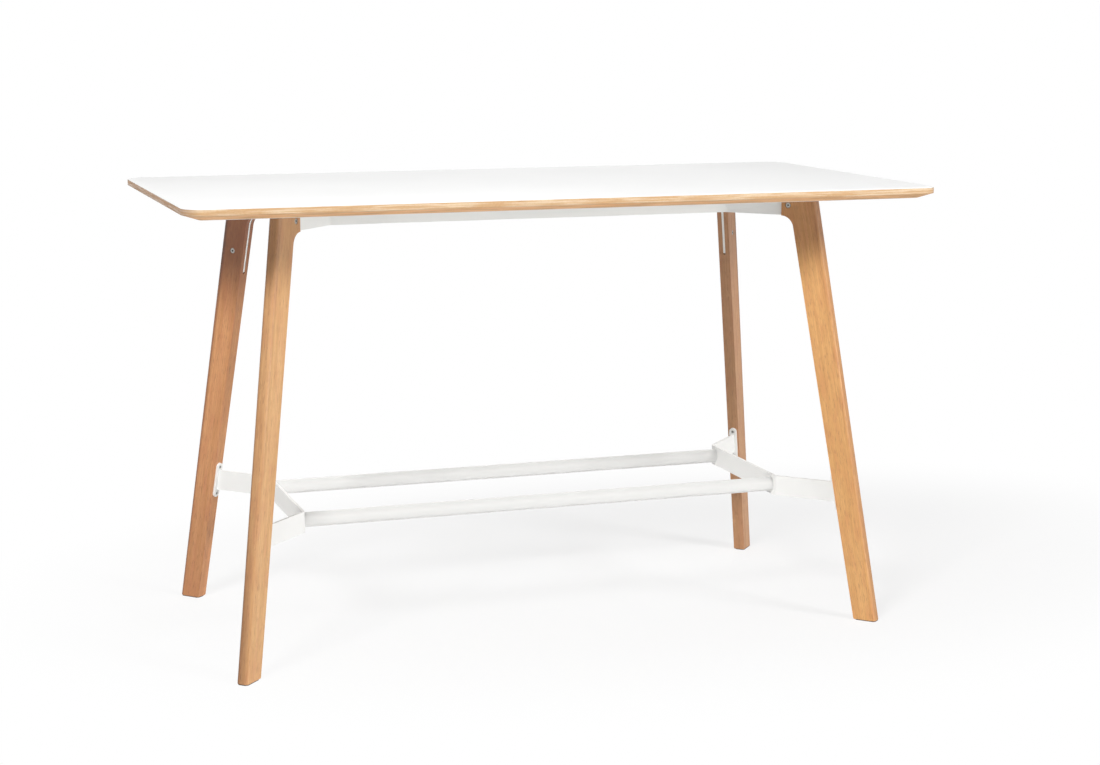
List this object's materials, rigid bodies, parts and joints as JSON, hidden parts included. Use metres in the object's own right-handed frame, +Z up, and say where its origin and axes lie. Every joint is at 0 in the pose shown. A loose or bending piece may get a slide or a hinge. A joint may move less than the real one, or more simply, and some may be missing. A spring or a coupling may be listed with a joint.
{
  "type": "high meeting table",
  "caption": "High rectangular table: white laminate top with undercut bevelled edge, splayed oak plank legs, white steel under-frame and a tubular foot rail.",
  "frame": {"origin": "on the floor under the middle of the table top", "axes": "+Z up, +X along the length to the right, +Y across to the back"},
  "size_m": [1.794, 0.914, 1.072],
  "materials": {
    "white_laminate": "smooth matt white laminate",
    "plywood": "clear-lacquered plywood edge",
    "balancing_laminate": "matt off-white balancing laminate",
    "oak": "oiled solid oak",
    "white_powder_coat": "fine satin white powder coat",
    "bolt_steel": "nickel-plated furniture bolt",
    "zinc_steel": "zinc-plated screw",
    "glide_plastic": "dark matt plastic"
  },
  "bodies": {
    "root": {"top_laminate": "white_laminate", "top_core": "plywood", "underside_laminate": "balancing_laminate", "front_rail": "white_powder_coat", "back_rail": "white_powder_coat", "cross_plate_left": "white_powder_coat", "cross_plate_centre": "white_powder_coat", "cross_plate_right": "white_powder_coat", "top_screws": "zinc_steel", "upper_leg_bolts": "bolt_steel", "lower_leg_bolts": "bolt_steel", "foot_bracket_left": "white_powder_coat", "foot_bracket_right": "white_powder_coat", "foot_tube_front": "white_powder_coat", "foot_tube_back": "white_powder_coat", "leg_plate_screws": "zinc_steel", "leg_front_left": "oak", "fixing_tab_front_left": "white_powder_coat", "leg_plate_front_left": "white_powder_coat", "glide_front_left": "glide_plastic", "leg_front_right": "oak", "fixing_tab_front_right": "white_powder_coat", "leg_plate_front_right": "white_powder_coat", "glide_front_right": "glide_plastic", "leg_back_left": "oak", "fixing_tab_back_left": "white_powder_coat", "leg_plate_back_left": "white_powder_coat", "glide_back_left": "glide_plastic", "leg_back_right": "oak", "fixing_tab_back_right": "white_powder_coat", "leg_plate_back_right": "white_powder_coat", "glide_back_right": "glide_plastic"}
  },
  "joints": []
}
